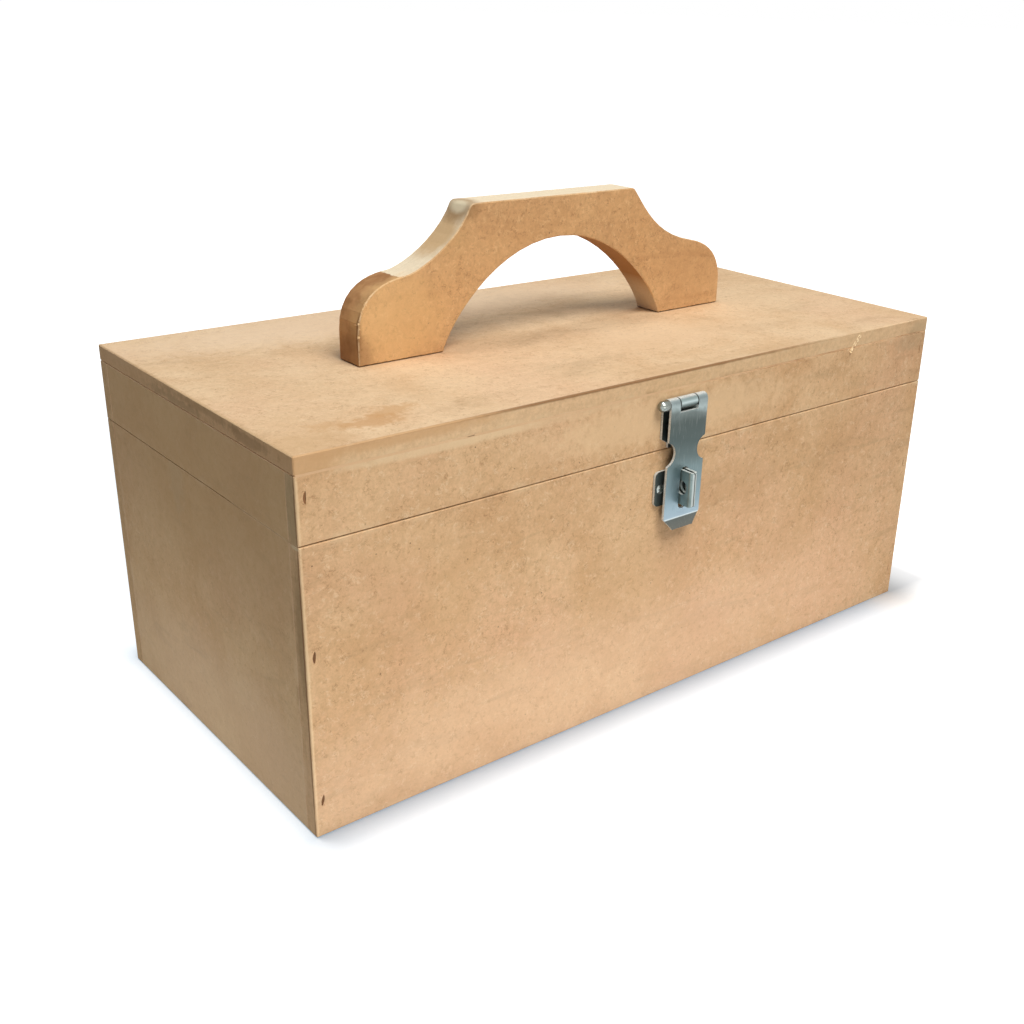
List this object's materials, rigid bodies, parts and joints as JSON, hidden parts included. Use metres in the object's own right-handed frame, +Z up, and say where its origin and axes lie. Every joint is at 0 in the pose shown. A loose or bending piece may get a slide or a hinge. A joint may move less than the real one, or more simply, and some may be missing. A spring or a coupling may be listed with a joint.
{
  "type": "suitcase box",
  "caption": "Fibreboard box with a lid hinged at the back, an arched carry handle on top and a folding hasp that closes over a padlock staple.",
  "frame": {"origin": "middle of the case's underside, at the centre of its length and depth, in the plane that it stands on", "axes": "+X along the front to the viewer's right, +Z up, and the front with the hasp faces -Y"},
  "size_m": [0.46, 0.2456, 0.2803],
  "materials": {
    "board": "raw medium-density fibreboard, matt, with fine brown flecks",
    "handle_board": "raw thick fibreboard, matt, sawn edges pale on top and burnished brown below",
    "zinc": "zinc-plated steel sheet, blue-grey, half matt",
    "screw_zinc": "bright zinc-plated steel",
    "wire": "dull coated steel wire"
  },
  "bodies": {
    "carcass": {"body_front_board": "board", "body_back_board": "board", "body_left_end": "board", "body_right_end": "board", "body_bottom": "board", "hinge_left_lower_leaf": "zinc", "hinge_left_pin": "zinc", "hinge_left_lower_screw_left": "screw_zinc", "hinge_left_lower_screw_right": "screw_zinc", "hinge_right_lower_leaf": "zinc", "hinge_right_pin": "zinc", "hinge_right_lower_screw_left": "screw_zinc", "hinge_right_lower_screw_right": "screw_zinc", "staple_plate": "zinc", "staple_plate_screw_left": "screw_zinc", "staple_plate_screw_right": "screw_zinc", "wire_staple_front_left_body_high": "wire", "wire_staple_front_left_body_low": "wire", "wire_staple_front_right_body_high": "wire", "wire_staple_front_right_body_low": "wire", "wire_staple_back_left_body_high": "wire", "wire_staple_back_left_body_low": "wire", "wire_staple_back_right_body_high": "wire", "wire_staple_back_right_body_low": "wire"},
    "lid": {"lid_top": "board", "lid_front_board": "board", "lid_back_board": "board", "lid_left_end": "board", "lid_right_end": "board", "carry_handle": "handle_board", "handle_screw_left_outer": "screw_zinc", "handle_screw_left_inner": "screw_zinc", "handle_screw_right_inner": "screw_zinc", "handle_screw_right_outer": "screw_zinc", "hinge_left_upper_leaf": "zinc", "hinge_left_upper_screw_left": "screw_zinc", "hinge_left_upper_screw_right": "screw_zinc", "hinge_right_upper_leaf": "zinc", "hinge_right_upper_screw_left": "screw_zinc", "hinge_right_upper_screw_right": "screw_zinc", "hasp_leaf": "zinc", "hasp_pin": "zinc", "hasp_leaf_screw_left": "screw_zinc", "hasp_leaf_screw_right": "screw_zinc", "wire_staple_front_left_lid": "wire", "wire_staple_front_right_lid": "wire", "wire_staple_back_left_lid": "wire", "wire_staple_back_right_lid": "wire"},
    "hasp_flap": {"hasp_flap": "zinc"}
  },
  "joints": [
    {"name": "lid_hinge", "type": "hinge", "parent": "carcass", "child": "lid", "pos_m": [0, 0.1155, 0.157], "axis": [-1, 0, 0], "range_deg": [0, 180]},
    {"name": "hasp_hinge", "type": "hinge", "parent": "lid", "child": "hasp_flap", "pos_m": [0.0054, -0.1162, 0.1838], "axis": [-1, 0, 0], "range_deg": [0, 178]}
  ]
}
